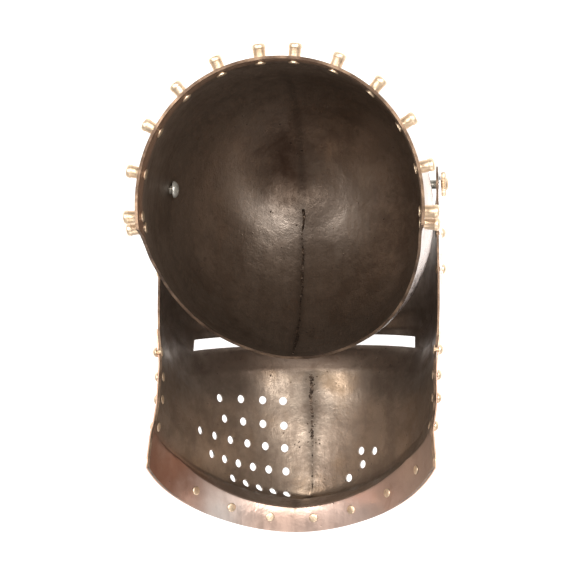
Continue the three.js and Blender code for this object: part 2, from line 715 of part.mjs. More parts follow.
addPiece(helmet, "skull", buildSkull(), STEEL_SKULL);
addPiece(visorGroup, "visor", buildVisor(), STEEL_VISOR);
addPiece(visorGroup, "visor_trim", buildTrim(), COPPER);
vervelleSeats().forEach(({ point, normal }, i) => {
  addPiece(helmet, `vervelle_${String(i + 1).padStart(2, "0")}`, vervelleShape, BRASS, point, normal);
});
trimSeats().forEach(({ point, normal }, i) => {
  const shape = rivetShape(FIT_GAP + TRIM_THICKNESS + RIVET_SLACK, VISOR_WALL + RIVET_SLACK);
  addPiece(visorGroup, `trim_rivet_${String(i + 1).padStart(2, "0")}`, shape, BRASS, point, normal);
});
strapSeats().forEach(({ point, normal }, i) => {
  const shape = rivetShape(FIT_GAP + STRAP_THICKNESS, VISOR_WALL + STRAP_SLACK);
  addPiece(visorGroup, `arm_rivet_${i + 1}`, shape, BRASS, point, normal);
});
const rosetteShape = buildRosette();
for (const [name, side] of [["left", 1], ["right", -1]]) {
  const out = new THREE.Vector3(side, 0, 0);
  const pivot = new THREE.Vector3(0, 0, PIVOT_HEIGHT);
  addPiece(visorGroup, `arm_strap_${name}`, buildStrap(side), STEEL_VISOR);
  addPiece(helmet, `pivot_pin_${name}`, pinShape, STEEL_PIN, pivot, out);
  const face = pivot.clone().addScaledVector(out, STACK_OUTSIDE + FIT_GAP);
  addPiece(helmet, `rosette_${name}`, rosetteShape, BRASS, face, out);
}

// The crown is turned down, leant and tipped, and the whole is set on the ground over the origin.
const rest = new THREE.Group();
helmet.rotation.order = "YXZ";
helmet.rotation.set(Math.PI - rad(REST_TIP), rad(REST_LEAN), 0);
rest.add(helmet);
rest.updateMatrixWorld(true);
const box = new THREE.Box3().setFromObject(rest, true);
const middle = box.getCenter(new THREE.Vector3());
helmet.position.set(-middle.x, -middle.y, -box.min.z);

export default rest;
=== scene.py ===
"""Looks of a pig-faced bascinet that lies on its crown with the visor raised, seen from above."""

import json
import math

import bmesh
import bpy
import numpy as np
from mathutils import Matrix, Vector, kdtree, noise


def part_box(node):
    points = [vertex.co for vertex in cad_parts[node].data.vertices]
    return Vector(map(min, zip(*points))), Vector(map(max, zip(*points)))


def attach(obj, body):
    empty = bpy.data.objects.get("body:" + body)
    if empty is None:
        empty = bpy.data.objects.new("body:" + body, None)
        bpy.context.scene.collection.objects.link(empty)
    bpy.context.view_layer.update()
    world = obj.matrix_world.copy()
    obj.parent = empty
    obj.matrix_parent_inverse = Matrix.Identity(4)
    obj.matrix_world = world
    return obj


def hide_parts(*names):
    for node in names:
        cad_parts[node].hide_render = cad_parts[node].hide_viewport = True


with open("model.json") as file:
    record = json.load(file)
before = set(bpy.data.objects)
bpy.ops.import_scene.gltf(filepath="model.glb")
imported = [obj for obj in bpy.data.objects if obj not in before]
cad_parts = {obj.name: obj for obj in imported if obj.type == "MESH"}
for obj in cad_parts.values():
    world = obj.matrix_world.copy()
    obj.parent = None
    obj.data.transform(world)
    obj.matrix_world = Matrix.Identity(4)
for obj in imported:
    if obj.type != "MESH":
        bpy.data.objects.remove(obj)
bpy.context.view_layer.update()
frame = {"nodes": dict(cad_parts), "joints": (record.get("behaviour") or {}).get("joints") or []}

# The helmet is drawn upright in millimetres, as in the part's source: x to the wearer's left,
# y to the back, z up from the neck edge. Everything is placed in the frame, in metres, at the end.
MM = 0.001
SKULL_HEIGHT = 275
SKULL_HALF_WIDTH = 106
SKULL_HALF_DEPTH = 110.5
SKULL_WALL = 2.0
SKULL_FULLNESS = 2.08
SKULL_CENTRE_Y = -21.9
KEEL_HEIGHT = 1.6
FACE_START = 30
BROW_REACH = 136
BROW_HEIGHT = 132
FACE_STRAIGHTNESS = 1.9
PIVOT_HEIGHT = 155
RAISED_ANGLE = math.radians(56)
REST_TIP = math.radians(-9.784)

VISOR_WALL = 1.6
VISOR_PLAY = 1.9
VISOR_REACH = 150
VISOR_HALF_WIDTH = SKULL_HALF_WIDTH + VISOR_PLAY + VISOR_WALL
VISOR_HEIGHT = 219
SNOUT_REACH = 60
SNOUT_POINT = 1.25
CHEEK_AHEAD = 20
DROP_LIMIT = 0.62
LINE_DROP = 0.6745
CHIN_LEAN = 9
CHIN_START = 0.74
CHIN_END = 0.9
ARM_END_RADIUS = 14
ARM_END_TURN = math.radians(118)
ARM_END_STEPS = 24
VISOR_TOP = 20.2
TOP_DIP = 4.2
TOP_DIP_REACH = 143.8
REAR_CORNER = 8
SIDE_END = 1.26

SLIT_HEIGHT = 8.6
SLIT_LEFT = 94
SLIT_RIGHT = 88
SLIT_BRIDGE = 16
SLIT_AHEAD = 128
BREATH_RADIUS = 3.4
PIN_RADIUS = 3.5
PIN_HEAD_RADIUS = 6.7
PIN_HEAD_THICKNESS = 4.2
ROSETTE_RADIUS = 9.5
ROSETTE_THICKNESS = 3.6
ROSETTE_TEETH = 36
TOOTH_DEPTH = 0.8
STRAP_THICKNESS = 1.5
TRIM_THICKNESS = 1.0
TRIM_SIDE_WIDTH = 15
TRIM_TOP = 90
TRIM_INSET = 0.6
TRIM_START = 0.35
TRIM_FRONT_LEVEL = 0.96
FIT_GAP = 0.35
VERVELLE_HEIGHT = 10

# Columns: height, width, depth, shift
SKULL_SECTIONS = [
    (0.0, 0.955, 0.95, 0.05),
    (0.025, 0.945, 0.944, 0.048),
    (0.12, 0.96, 0.965, 0.04),
    (0.4, 0.997, 0.998, 0.01),
    (0.545, 1.0, 1.0, 0.0),
    (0.645, 0.97, 0.968, 0.01),
    (0.735, 0.905, 0.9, 0.02),
    (0.815, 0.795, 0.79, 0.04),
    (0.882, 0.65, 0.645, 0.07),
    (0.935, 0.475, 0.465, 0.11),
    (0.972, 0.29, 0.275, 0.145),
    (1.0, 0.0, 0.0, 0.18),
]
HEIGHT, WIDTH, DEPTH, SHIFT = range(4)

# Columns: level, reach, width, full, snout, drop
VISOR_LINES = [
    (-0.082, 0.985, 1.0, 2.5, 0.0, 0.0),
    (0.068, 0.985, 1.0, 2.5, 0.0, 0.0),
    (0.155, 0.992, 1.0, 2.7, 0.0, 0.45),
    (0.192, 1.02, 1.0, 3.0, 0.0, 0.9),
    (0.252, 1.02, 1.0, 3.0, 0.0, 1.0),
    (0.288, 1.0, 0.999, 2.9, 0.0, 1.0),
    (0.36, 1.02, 0.995, 2.7, 0.03, 1.0),
    (0.46, 1.02, 0.978, 2.45, 0.27, 0.8),
    (0.54, 1.016, 0.973, 2.38, 0.48, 0.57),
    (0.63, 1.012, 0.973, 2.3, 0.68, 0.36),
    (0.73, 1.005, 0.973, 2.25, 0.88, 0.12),
    (0.785, 1.0, 0.973, 2.2, 0.97, 0.0),
    (0.83, 0.985, 0.973, 2.2, 0.83, 0.0),
    (0.87, 0.96, 0.975, 2.2, 0.52, -0.1),
    (0.93, 0.965, 0.982, 2.05, 0.27, -0.34),
    (0.965, 1.022, 0.992, 2.01, 0.2, -0.1),
    (1.0, 1.082, 1.0, 2.0, 0.14, 0.0),
]
LEVEL, REACH, BREADTH, FULL, SNOUT, DROP = range(6)
CREASES = (0.36, 0.93)

# Columns: depth below the pivots, distance ahead of them
VISOR_REAR = [(40, 6), (84, 25), (132, 39.6), (214, 46)]

# Columns: count, inner side, outer side, inner level, outer level, spread
BREATH_ROWS = [
    (4, 0.103, 0.438, 0.465, 0.466, 1.14),
    (4, 0.107, 0.415, 0.548, 0.555, 1.03),
    (6, 0.11, 0.57, 0.626, 0.65, 1.0),
    (6, 0.108, 0.496, 0.708, 0.742, 0.97),
    (5, 0.094, 0.358, 0.797, 0.801, 1.03),
]
# Columns: side, level
CROSS_BREATHS = [(0.23, 0.654), (0.309, 0.67), (0.241, 0.707), (0.17, 0.743)]
TRIM_FRONT_RIVETS = [-0.7, -0.484, -0.277, -0.087, 0.12, 0.311, 0.509]
TRIM_SIDE_LEVELS = [0.45, 0.58, 0.71, 0.84]
STRAP_RIVETS = [38, 66]
# Columns: angle from the back, rise above the usual height
VERVELLES = [(6.3, 0), (22.8, 0), (40.5, 0), (58.5, 0), (76.3, 0), (92, 0), (96, 11)]

# Fineness of the sheets
SKULL_ROWS = 96
SKULL_TURNS = 216
VISOR_ROWS = 150
VISOR_STATIONS = 240
ROUND_SIDES = 28
ROSETTE_SIDES = 180
FAR = 400


# Numbers
def curve(rows, value, at, key=0):
    """Smooth value between the rows of a table, with a monotone cubic, at many places at once."""
    x = np.array([row[key] for row in rows], float)
    y = np.array([row[value] for row in rows], float)
    slope = np.diff(y) / np.diff(x)
    tangent = np.concatenate([slope[:1], slope[1:], slope[-1:]])
    before, after = slope[:-1], slope[1:]
    same = before * after > 0
    tangent[1:-1] = np.where(same, 2 * before * after / np.where(same, before + after, 1), 0)
    i = np.clip(np.searchsorted(x, at, side="right") - 1, 0, len(x) - 2)
    h = x[i + 1] - x[i]
    s = (at - x[i]) / h
    return (
        (2 * s**3 - 3 * s**2 + 1) * y[i]
        + (s**3 - 2 * s**2 + s) * h * tangent[i]
        + (3 * s**2 - 2 * s**3) * y[i + 1]
        + (s**3 - s**2) * h * tangent[i + 1]
    )


def creased(rows, value, at):
    """The same, with a sharp change of direction at each crease."""
    found = np.zeros_like(at)
    limits = (-9, *CREASES, 9)
    for low, high in zip(limits, limits[1:]):
        part = [row for row in rows if low <= row[LEVEL] <= high]
        inside = (at >= low) & (at <= high)
        found[inside] = curve(part, value, at[inside])
    return found


def signed_power(v, p):
    return np.sign(v) * np.abs(v) ** p


def smoothstep(v, low, high):
    t = np.clip((v - low) / (high - low), 0, 1)
    return t * t * (3 - 2 * t)


def unit(v):
    return v / np.maximum(np.linalg.norm(v, axis=-1, keepdims=True), 1e-12)


def turn_x(angle):
    c, s = math.cos(angle), math.sin(angle)
    return np.array([[1, 0, 0], [0, c, -s], [0, s, c]])


# Places
PIVOT = np.array(frame["joints"][0]["pos_m"])
REST = turn_x(math.pi - REST_TIP)
RAISE = turn_x(-RAISED_ANGLE)
HINGE = np.array([0, 0, PIVOT_HEIGHT])


def raised(points):
    """From the closed visor's own frame, at the pivots, to the helmet's, with the visor raised."""
    return np.asarray(points) @ RAISE.T + HINGE


def placed(points):
    """From the helmet's millimetres to the frame's metres."""
    return (np.asarray(points) - HINGE) @ REST.T * MM + PIVOT


# Surfaces
def skull_lengths():
    """Skull sections against the distance along the side, carried a little past the crown."""
    height, width, depth, shift = SKULL_SECTIONS[-2]
    rows = [*SKULL_SECTIONS, (height, -width, -depth, 2 * SKULL_SECTIONS[-1][SHIFT] - shift)]
    steps = [
        math.hypot((b[WIDTH] - a[WIDTH]) * SKULL_HALF_WIDTH, (b[HEIGHT] - a[HEIGHT]) * SKULL_HEIGHT)
        for a, b in zip(rows, rows[1:])
    ]
    along = np.concatenate([[0], np.cumsum(steps)])
    return [(length, *row) for length, row in zip(along, rows)]


SKULL_LENGTHS = skull_lengths()
CROWN_AT = SKULL_LENGTHS[-2][0]


def skull_point(turn, along):
    height = curve(SKULL_LENGTHS, 1 + HEIGHT, along)
    width = curve(SKULL_LENGTHS, 1 + WIDTH, along) * SKULL_HALF_WIDTH
    depth = curve(SKULL_LENGTHS, 1 + DEPTH, along) * SKULL_HALF_DEPTH
    shift = curve(SKULL_LENGTHS, 1 + SHIFT, along) * SKULL_HALF_DEPTH
    power = 2 / SKULL_FULLNESS
    ridge = np.maximum(0, np.cos(turn)) ** 24 * KEEL_HEIGHT * (depth / SKULL_HALF_DEPTH)
    return np.stack(
        [
            width * signed_power(np.sin(turn), power),
            SKULL_CENTRE_Y + shift - depth * signed_power(np.cos(turn), power) - ridge,
            height * SKULL_HEIGHT,
        ],
        -1,
    )


def skull_normal(turn, along):
    step_turn, step_along = 0.004, 0.6
    round_ = skull_point(turn + step_turn, along) - skull_point(turn - step_turn, along)
    rise = skull_point(turn, np.minimum(CROWN_AT, along + step_along)) - skull_point(
        turn, np.maximum(0, along - step_along)
    )
    normal = np.cross(round_, rise)
    normal[along < 0.5, 2] = 0
    normal[along > CROWN_AT - 0.5] = (0, 0, 1)
    return unit(normal)


def visor_point(side, level):
    """Outside of the closed visor from the pivots: side runs round the front, level down."""
    reach = creased(VISOR_LINES, REACH, level) * VISOR_REACH
    width = creased(VISOR_LINES, BREADTH, level) * VISOR_HALF_WIDTH
    full = creased(VISOR_LINES, FULL, level)
    snout = creased(VISOR_LINES, SNOUT, level) * SNOUT_REACH
    drop = creased(VISOR_LINES, DROP, level) * LINE_DROP
    round_ = np.minimum(1, np.abs(side))

    def ahead(share):
        bow = np.maximum(0, np.cos(share * math.pi / 2)) ** (2 / full)
        return CHEEK_AHEAD + (reach - CHEEK_AHEAD) * bow

    bump = snout * (1 - round_) ** SNOUT_POINT
    back = np.maximum(0, np.abs(side) - 1) * VISOR_REACH
    sink = drop * (reach - ahead(np.minimum(round_, DROP_LIMIT)))
    lean = smoothstep(level, CHIN_START, CHIN_END) * CHIN_LEAN
    lean = lean * np.maximum(0, np.cos(round_ * math.pi / 2)) ** 0.7
    return np.stack(
        [
            np.sign(side) * width * np.sin(round_ * math.pi / 2) ** (2 / full) + lean,
            -(ahead(round_) + bump - back),
            -level * VISOR_HEIGHT - sink,
        ],
        -1,
    )


def visor_normal(side, level):
    step = 0.01
    top, low = VISOR_LINES[0][LEVEL], VISOR_LINES[-1][LEVEL]
    round_ = visor_point(side + step, level) - visor_point(side - step, level)
    down = visor_point(side, np.minimum(low, level + step)) - visor_point(
        side, np.maximum(top, level - step)
    )
    return unit(np.cross(down, round_))


def hammered(points, size, depth):
    """Small waves that hammering leaves, as a distance along the normal at each point."""
    flat = points.reshape(-1, 3)
    waves = [
        noise.noise(Vector(p) / size) + 0.45 * noise.noise(Vector(p) / (size * 0.42))
        for p in flat
    ]
    return (np.array(waves) * depth).reshape(points.shape[:-1])


# Meshes
OUTSIDE, INSIDE, EDGE = range(3)


def new_piece(name, points, faces, finish=None, slots=()):
    """Mesh object in the frame from points of the helmet in millimetres."""
    mesh = bpy.data.meshes.new(name)
    mesh.from_pydata(placed(points).tolist(), [], faces)
    if finish is not None:
        mesh.polygons.foreach_set("material_index", finish)
    mesh.update()
    piece = bpy.data.objects.new(name, mesh)
    bpy.context.scene.collection.objects.link(piece)
    for material in slots:
        mesh.materials.append(material)
    return piece


def wall_faces(rows, columns, closed, pole):
    """Quads of an outer and an inner grid and of the edges between them, and their finishes."""
    faces, finish = [], []
    count = rows * columns

    def at(side, row, column):
        return side * count + row * columns + column % columns

    def add(kind, *corners):
        faces.append(corners)
        finish.append(kind)

    spans = columns if closed else columns - 1
    last = rows - 1
    for r in range(last):
        for c in range(spans):
            add(OUTSIDE, at(0, r, c), at(0, r, c + 1), at(0, r + 1, c + 1), at(0, r + 1, c))
            add(INSIDE, at(1, r, c), at(1, r + 1, c), at(1, r + 1, c + 1), at(1, r, c + 1))
    for c in range(spans):
        add(EDGE, at(0, 0, c), at(1, 0, c), at(1, 0, c + 1), at(0, 0, c + 1))
        if not pole:
            add(EDGE, at(0, last, c), at(0, last, c + 1), at(1, last, c + 1), at(1, last, c))
    if pole:
        for side, kind in ((0, OUTSIDE), (1, INSIDE)):
            ring = [at(side, last, c) for c in range(columns)]
            add(kind, *(ring if side == 0 else reversed(ring)))
    if not closed:
        end = columns - 1
        for r in range(last):
            add(EDGE, at(0, r, 0), at(0, r + 1, 0), at(1, r + 1, 0), at(1, r, 0))
            add(EDGE, at(0, r, end), at(1, r, end), at(1, r + 1, end), at(0, r + 1, end))
    return faces, finish


def prism(outline, low, high):
    """Outline given ahead of and above the pivots, run across the helmet, in the visor's frame."""
    points = [(x, -ahead, above) for x in (low, high) for ahead, above in outline]
    n = len(outline)
    faces = [tuple(range(n)), tuple(range(2 * n - 1, n - 1, -1))]
    faces += [(i, n + i, n + (i + 1) % n, (i + 1) % n) for i in range(n)]
    return np.array(points, float), faces


def rod(point, normal, radius, reach, sides):
    """Cylinder through a point, along a direction."""
    axis = unit(np.asarray(normal, float))
    helper = np.array([0, 0, 1.0]) if abs(axis[2]) < 0.9 else np.array([1.0, 0, 0])
    u = unit(np.cross(axis, helper))
    v = np.cross(axis, u)
    turns = [2 * math.pi * i / sides for i in range(sides)]
    ring = np.array([radius * (math.cos(t) * u + math.sin(t) * v) for t in turns])
    points = np.concatenate([ring + point - axis * reach, ring + point + axis * reach])
    faces = [tuple(reversed(range(sides))), tuple(range(sides, 2 * sides))]
    faces += [(i, (i + 1) % sides, sides + (i + 1) % sides, sides + i) for i in range(sides)]
    return points, faces


def joined(parts):
    """One list of points and faces from several."""
    points, faces, start = [], [], 0
    for some, ring in parts:
        points.append(some)
        faces += [tuple(start + i for i in face) for face in ring]
        start += len(some)
    return np.concatenate(points), faces


def outward(piece):
    """Turns all faces of a closed mesh to point out."""
    work = bmesh.new()
    work.from_mesh(piece.data)
    bmesh.ops.recalc_face_normals(work, faces=work.faces)
    work.to_mesh(piece.data)
    work.free()
    return piece


def cut(piece, parts, how="DIFFERENCE", finish=EDGE):
    """Cuts the piece with closed solids of the helmet's frame; the cut faces get a finish."""
    points, faces = joined(parts)
    tool = outward(new_piece("cutter", points, faces, [finish] * len(faces), piece.data.materials))
    step = piece.modifiers.new("cut", "BOOLEAN")
    step.operation = how
    step.solver = "MANIFOLD"
    step.object = tool
    graph = bpy.context.evaluated_depsgraph_get()
    made = bpy.data.meshes.new_from_object(piece.evaluated_get(graph))
    piece.modifiers.clear()
    old = piece.data
    piece.data = made
    bpy.data.meshes.remove(old)
    bpy.data.objects.remove(tool)
    return piece


def shaded(piece, angle=38):
    piece.data.shade_smooth()
    piece.data.set_sharp_from_angle(angle=math.radians(angle))
    return piece


def painted(piece, name, points, values):
    """Gives each vertex the value of the nearest point, for the materials to read."""
    tree = kdtree.KDTree(len(points))
    for i, p in enumerate(placed(points)):
        tree.insert(p, i)
    tree.balance()
    near = [tree.find(v.co)[1] for v in piece.data.vertices]
    layer = piece.data.attributes.new(name, "FLOAT", "POINT")
    layer.data.foreach_set("value", np.asarray(values, np.float32)[near])


# Materials
class Paint:
    """A material's nodes, made with few words."""

    def __init__(self, name, **settings):
        self.material = bpy.data.materials.new(name)
        self.material.use_nodes = True
        self.nodes = self.material.node_tree.nodes
        self.links = self.material.node_tree.links
        self.shader = self.nodes["Principled BSDF"]
        self.coords = self.nodes.new("ShaderNodeTexCoord").outputs["Object"]
        for key, value in settings.items():
            self.shader.inputs[key.replace("_", " ").capitalize()].default_value = value

    def put(self, socket, value):
        if isinstance(value, bpy.types.NodeSocket):
            self.links.new(value, socket)
        else:
            socket.default_value = value

    def make(self, kind, result=0, inputs=(), **settings):
        node = self.nodes.new("ShaderNode" + kind)
        for key, value in settings.items():
            setattr(node, key, value)
        for key, value in dict(inputs).items():
            self.put(node.inputs[key], value)
        return node.outputs[result]

    def stretched(self, x, y, z):
        return self.make("Mapping", 0, {"Vector": self.coords, "Scale": (x, y, z)})

    def cloud(self, scale, detail=4.0, rough=0.55, vector=None, warp=0.0):
        place = vector if vector is not None else self.coords
        inputs = {"Vector": place, "Scale": scale, "Detail": detail, "Roughness": rough}
        inputs["Distortion"] = warp
        return self.make("TexNoise", "Fac", inputs)

    def spots(self, scale, vector=None):
        place = vector if vector is not None else self.coords
        return self.make("TexVoronoi", "Distance", {"Vector": place, "Scale": scale})

    def spread(self, value, low, high, out_low=0.0, out_high=1.0):
        inputs = {0: value, 1: low, 2: high, 3: out_low, 4: out_high}
        return self.make("MapRange", 0, inputs, interpolation_type="SMOOTHSTEP")

    def maths(self, how, a, b):
        return self.make("Math", 0, {0: a, 1: b}, operation=how)

    def times(self, a, b):
        return self.maths("MULTIPLY", a, b)

    def plus(self, a, b):
        return self.maths("ADD", a, b)

    def mix(self, share, a, b):
        node = self.nodes.new("ShaderNodeMix")
        node.data_type = "RGBA"
        self.put(node.inputs["Factor"], share)
        self.put(node.inputs["A"], a if isinstance(a, bpy.types.NodeSocket) else (*a, 1))
        self.put(node.inputs["B"], b if isinstance(b, bpy.types.NodeSocket) else (*b, 1))
        return next(o for o in node.outputs if o.type == "RGBA")

    def value(self, name):
        return self.make("Attribute", "Fac", attribute_name=name)

    def worn(self):
        """Share of wear on outward edges."""
        return self.spread(self.make("NewGeometry", "Pointiness"), 0.505, 0.56)

    def finish(self, colour, roughness, height=None, depth=0.0005, strength=1.0):
        self.put(self.shader.inputs["Base Color"], colour)
        self.put(self.shader.inputs["Roughness"], roughness)
        if height is not None:
            inputs = {"Strength": strength, "Distance": depth, "Height": height}
            self.put(self.shader.inputs["Normal"], self.make("Bump", "Normal", inputs))
        return self.material


def steel_inside(name, seamed):
    """Browned steel of the hollow: mottled, rusty in places, pitted, rubbed to a lighter tone at the
    edge, with painted shade and painted highlights in places.
    """
    p = Paint(name, metallic=0.86)
    broad = p.spread(p.cloud(9.0, 3.0, 0.5, warp=0.4), 0.36, 0.66)
    mottle = p.spread(p.cloud(46.0, 6.0, 0.65), 0.35, 0.68)
    rust = p.spread(p.cloud(27.0, 5.0, 0.7, warp=0.8), 0.55, 0.74)
    fine = p.cloud(420.0, 3.0, 0.6)
    grain = p.cloud(240.0, 3.0, 0.6, p.stretched(1.0, 0.16, 0.16))
    pits = p.spread(p.spots(150.0), 0.02, 0.16, 1.0, 0.0)
    few = p.spread(p.cloud(33.0, 2.0, 0.5), 0.52, 0.64)
    speckle = p.spread(p.cloud(130.0, 4.0, 0.7), 0.56, 0.7)
    pitted = p.times(pits, few)
    colour = p.mix(broad, (0.135, 0.096, 0.070), (0.22, 0.168, 0.130))
    colour = p.mix(p.times(mottle, 0.55), colour, (0.27, 0.215, 0.172))
    colour = p.mix(p.times(rust, 0.5), colour, (0.13, 0.066, 0.036))
    colour = p.mix(p.times(speckle, 0.4), colour, (0.08, 0.052, 0.036))
    if seamed:
        # In the snout the tone is greyer and lighter: partly its own tone, partly painted light
        grey = p.mix(mottle, (0.215, 0.165, 0.128), (0.325, 0.262, 0.208))
        gold = p.spread(p.cloud(17.0, 4.0, 0.6), 0.52, 0.74)
        grey = p.mix(p.times(gold, 0.4), grey, (0.33, 0.215, 0.115))
        scales = p.spread(p.cloud(330.0, 3.0, 0.6), 0.5, 0.62)
        scales = p.times(scales, p.value("scale"))
        grey = p.mix(p.times(scales, 0.25), grey, (0.40, 0.32, 0.26))
        colour = p.mix(p.value("snout"), colour, grey)
        # The flange is pink: partly its own tone, partly painted sheen, fuller at the front and weaker
        # towards the wearer's right
        pink = p.mix(broad, (0.56, 0.385, 0.305), (0.74, 0.56, 0.48))
        pink = p.mix(p.times(rust, 0.35), pink, (0.36, 0.20, 0.14))
        colour = p.mix(p.value("flange_tone_and_sheen"), colour, pink)
        # Painted highlight: a near-white spot on the flange
        colour = p.mix(p.value("flange_painted_highlight"), colour, (0.90, 0.83, 0.78))
        patchy = p.spread(p.cloud(20.0, 4.0, 0.6), 0.3, 0.7, 0.35, 1.0)
        red = p.times(p.value("red"), patchy)
        colour = p.mix(red, colour, (0.30, 0.135, 0.085))
        close = p.spread(p.spots(260.0), 0.04, 0.2, 1.0, 0.0)
        close = p.times(close, p.spread(p.cloud(70.0, 3.0, 0.6), 0.45, 0.6))
        pitted = p.maths("MAXIMUM", pitted, p.times(close, p.value("scale")))
    else:
        colour = p.mix(p.times(p.value("rim"), 0.8), colour, (0.44, 0.26, 0.17))
        # Painted highlights: a lighter, rubbed-looking tone where the lamps' reflections should stand
        # in the crown
        painted_highlight = p.times(p.value("painted_highlight"), p.spread(mottle, 0.0, 1.0, 0.7, 1.0))
        colour = p.mix(painted_highlight, colour, (0.74, 0.64, 0.56))
        # Dark, reddish, rougher patch in the crown: partly a stain, partly painted shade between the
        # painted highlights
        stain_and_painted_shade = p.times(p.value("stain_and_painted_shade"), p.spread(mottle, 0.0, 1.0, 1.0, 0.75))
        colour = p.mix(stain_and_painted_shade, colour, (0.095, 0.056, 0.038))
    # Darker along the welds and, in the skull, towards the back and the neck edge
    colour = p.mix(p.times(p.value("soot_and_darkening"), 0.7), colour, (0.045, 0.032, 0.024))
    colour = p.mix(p.times(pitted, 0.75), colour, (0.03, 0.02, 0.015))
    rough = p.spread(mottle, 0.0, 1.0, 0.46, 0.36)
    rough = p.plus(rough, p.times(rust, 0.14))
    rough = p.plus(rough, p.spread(grain, 0.3, 0.7, -0.05, 0.05))
    if not seamed:
        rough = p.plus(rough, p.times(stain_and_painted_shade, 0.2))
    height = p.plus(p.times(fine, 0.22), p.times(grain, 0.35))
    height = p.plus(height, p.times(mottle, 0.5))
    height = p.maths("SUBTRACT", height, pitted)
    return p.finish(colour, rough, height, depth=0.00032 if seamed else 0.0005)


def steel_outside(name, lightness=1.0):
    """Cleaned steel of the outside, with faint rusty clouds."""
    p = Paint(name, metallic=1.0)
    cloud = p.spread(p.cloud(14.0, 5.0, 0.6, warp=0.5), 0.35, 0.7)
    stain = p.spread(p.cloud(30.0, 6.0, 0.7), 0.56, 0.78)
    grain = p.cloud(300.0, 3.0, 0.6, p.stretched(1.0, 0.2, 0.2))
    pits = p.spread(p.spots(210.0), 0.02, 0.13, 1.0, 0.0)
    pitted = p.times(pits, p.spread(p.cloud(40.0, 2.0, 0.5), 0.58, 0.66))
    colour = p.mix(cloud, (0.50, 0.42, 0.39), (0.63, 0.55, 0.52))
    colour = p.mix(p.times(stain, 0.55), colour, (0.34, 0.22, 0.17))
    colour = p.mix(p.times(pitted, 0.7), colour, (0.10, 0.07, 0.06))
    # A lightness below 1 gives a darker copy of this steel: painted shade
    colour = p.mix(1 - lightness, colour, (0.12, 0.095, 0.08))
    colour = p.mix(p.worn(), colour, (0.78, 0.72, 0.68))
    rough = p.spread(grain, 0.3, 0.7, 0.24, 0.36)
    rough = p.plus(rough, p.times(stain, 0.14))
    height = p.maths("SUBTRACT", p.times(grain, 0.4), pitted)
    return p.finish(colour, rough, height, depth=0.00025)


def steel_edge(name):
    """Rubbed edge of a sheet."""
    p = Paint(name, metallic=0.8)
    cloud = p.spread(p.cloud(60.0, 4.0, 0.6), 0.35, 0.7)
    colour = p.mix(cloud, (0.075, 0.046, 0.03), (0.27, 0.18, 0.12))
    rough = p.spread(p.cloud(300.0, 2.0, 0.5), 0.3, 0.7, 0.34, 0.5)
    return p.finish(colour, rough, p.cloud(500.0, 2.0, 0.5), depth=0.0001)


def steel_pin(name):
    p = Paint(name, metallic=0.55)
    cloud = p.spread(p.cloud(120.0, 5.0, 0.6), 0.35, 0.65)
    colour = p.mix(cloud, (0.27, 0.255, 0.215), (0.46, 0.45, 0.40))
    colour = p.mix(p.worn(), colour, (0.62, 0.60, 0.55))
    rough = p.spread(p.cloud(260.0, 3.0, 0.6), 0.3, 0.7, 0.26, 0.42)
    return p.finish(colour, rough, p.cloud(420.0, 4.0, 0.6), depth=0.0003)


def brass(name, light, dark, tarnish):
    """Turned or filed brass, darker where it is tarnished and bright on its edges."""
    p = Paint(name, metallic=1.0)
    cloud = p.spread(p.cloud(110.0, 4.0, 0.6), 0.32, 0.7)
    stain = p.spread(p.cloud(220.0, 5.0, 0.7), 0.54, 0.74)
    grain = p.cloud(900.0, 2.0, 0.5)
    colour = p.mix(cloud, dark, light)
    colour = p.mix(p.times(stain, 0.6), colour, tarnish)
    colour = p.mix(p.times(p.worn(), 0.7), colour, tuple(min(1, c * 1.18) for c in light))
    rough = p.spread(grain, 0.3, 0.7, 0.38, 0.54)
    rough = p.plus(rough, p.times(stain, 0.15))
    return p.finish(colour, rough, p.plus(grain, p.times(cloud, 0.8)), depth=0.00012)


def weld_metal(name):
    """Dark, scaly metal of the welded seams."""
    p = Paint(name, metallic=0.85)
    cloud = p.spread(p.cloud(160.0, 5.0, 0.7), 0.38, 0.62)
    bead = p.spread(p.cloud(300.0, 2.0, 0.5), 0.62, 0.72)
    colour = p.mix(cloud, (0.035, 0.024, 0.018), (0.12, 0.085, 0.062))
    colour = p.mix(p.times(bead, 0.6), colour, (0.42, 0.34, 0.28))
    rough = p.spread(cloud, 0.0, 1.0, 0.55, 0.36)
    return p.finish(colour, rough, p.cloud(420.0, 5.0, 0.7), depth=0.0006)


# In the order of OUTSIDE, INSIDE and EDGE
SKULL_SKINS = [
    steel_outside("skull_outside"),
    steel_inside("skull_inside", False),
    steel_edge("skull_edge"),
]
VISOR_SKINS = [
    steel_outside("visor_outside"),
    steel_inside("visor_inside", True),
    steel_edge("visor_edge"),
]
# The straps get a darker copy of the outside steel: painted shade that tones down their reflection of
# the floor
STRAP_STEEL = steel_outside("strap_steel_worn_and_shaded", 0.66)
PIN_STEEL = steel_pin("pin_steel_worn")
BRASS = brass("brass_turned", (0.80, 0.64, 0.47), (0.62, 0.455, 0.30), (0.32, 0.20, 0.12))
COPPER = brass("brass_strip", (0.80, 0.56, 0.42), (0.56, 0.34, 0.23), (0.24, 0.13, 0.09))
WELD = weld_metal("weld_metal")


# Skull
# Hammered waves, and how far the sheets are set in so that the waves stay inside the solids
HAMMER_SIZE = 30
HAMMER_DEPTH = 0.32
HAMMER_FADE = 25
VISOR_HAMMER_SHARE = 0.8
VISOR_INSET = 0.1
CROWN_INSET = 0.34
CROWN_INSET_FADE = (90, 40)
CROWN_RING = 0.7
FACE_STEPS = 60
# The weld lies a little to the wearer's left of the middle
WELD_SHIFT = 7.5

# Heights between which the tones of the hollow fade
RIM_FADE = (9, 20)
WELD_FADE = (60, 160)
DEEP_FADE = (70, 200)
CROWN_FADE = (150, 215)
